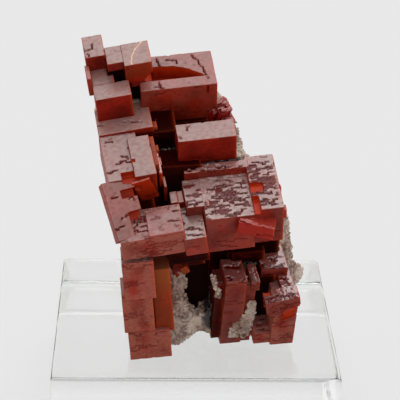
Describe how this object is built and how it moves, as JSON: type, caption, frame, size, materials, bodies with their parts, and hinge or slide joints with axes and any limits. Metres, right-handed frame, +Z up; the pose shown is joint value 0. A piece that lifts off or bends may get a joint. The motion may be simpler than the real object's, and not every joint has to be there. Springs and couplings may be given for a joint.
{
  "type": "vanadinite on matrix",
  "caption": "Vanadinite specimen: blocky, etched red-brown crystals stepping down a pale sugary matrix with a small cavity, standing on a clear square display block.",
  "frame": {"origin": "middle of the display block's underside", "axes": "+Z up; the crystals face -Y, and +X is to the viewer's right"},
  "size_m": [0.038, 0.038, 0.054],
  "materials": {
    "vanadinite": "resinous, etched crystal faces",
    "matrix": "fine sugary grains",
    "acrylic": "clear, polished"
  },
  "bodies": {
    "root": {"display_block": "acrylic", "matrix": "matrix", "crystals_front_ledge": "vanadinite", "crystals_left_plates": "vanadinite", "crystals_upper_left": "vanadinite", "crystals_upper_tips": "vanadinite", "crystal_top_right": "vanadinite", "crystal_shoulder": "vanadinite", "crystals_middle": "vanadinite", "crystal_tilted": "vanadinite", "crystals_middle_foot": "vanadinite", "crystals_right_foot": "vanadinite", "crystal_right_knob": "vanadinite", "crystals_left_foot": "vanadinite", "crystals_inner": "vanadinite", "crystal_in_gap": "vanadinite", "crystal_in_cavity": "vanadinite", "crystals_under_middle": "vanadinite", "crystals_right_edge": "vanadinite", "crystals_back_upper": "vanadinite", "crystals_back_lower": "vanadinite"}
  },
  "joints": []
}
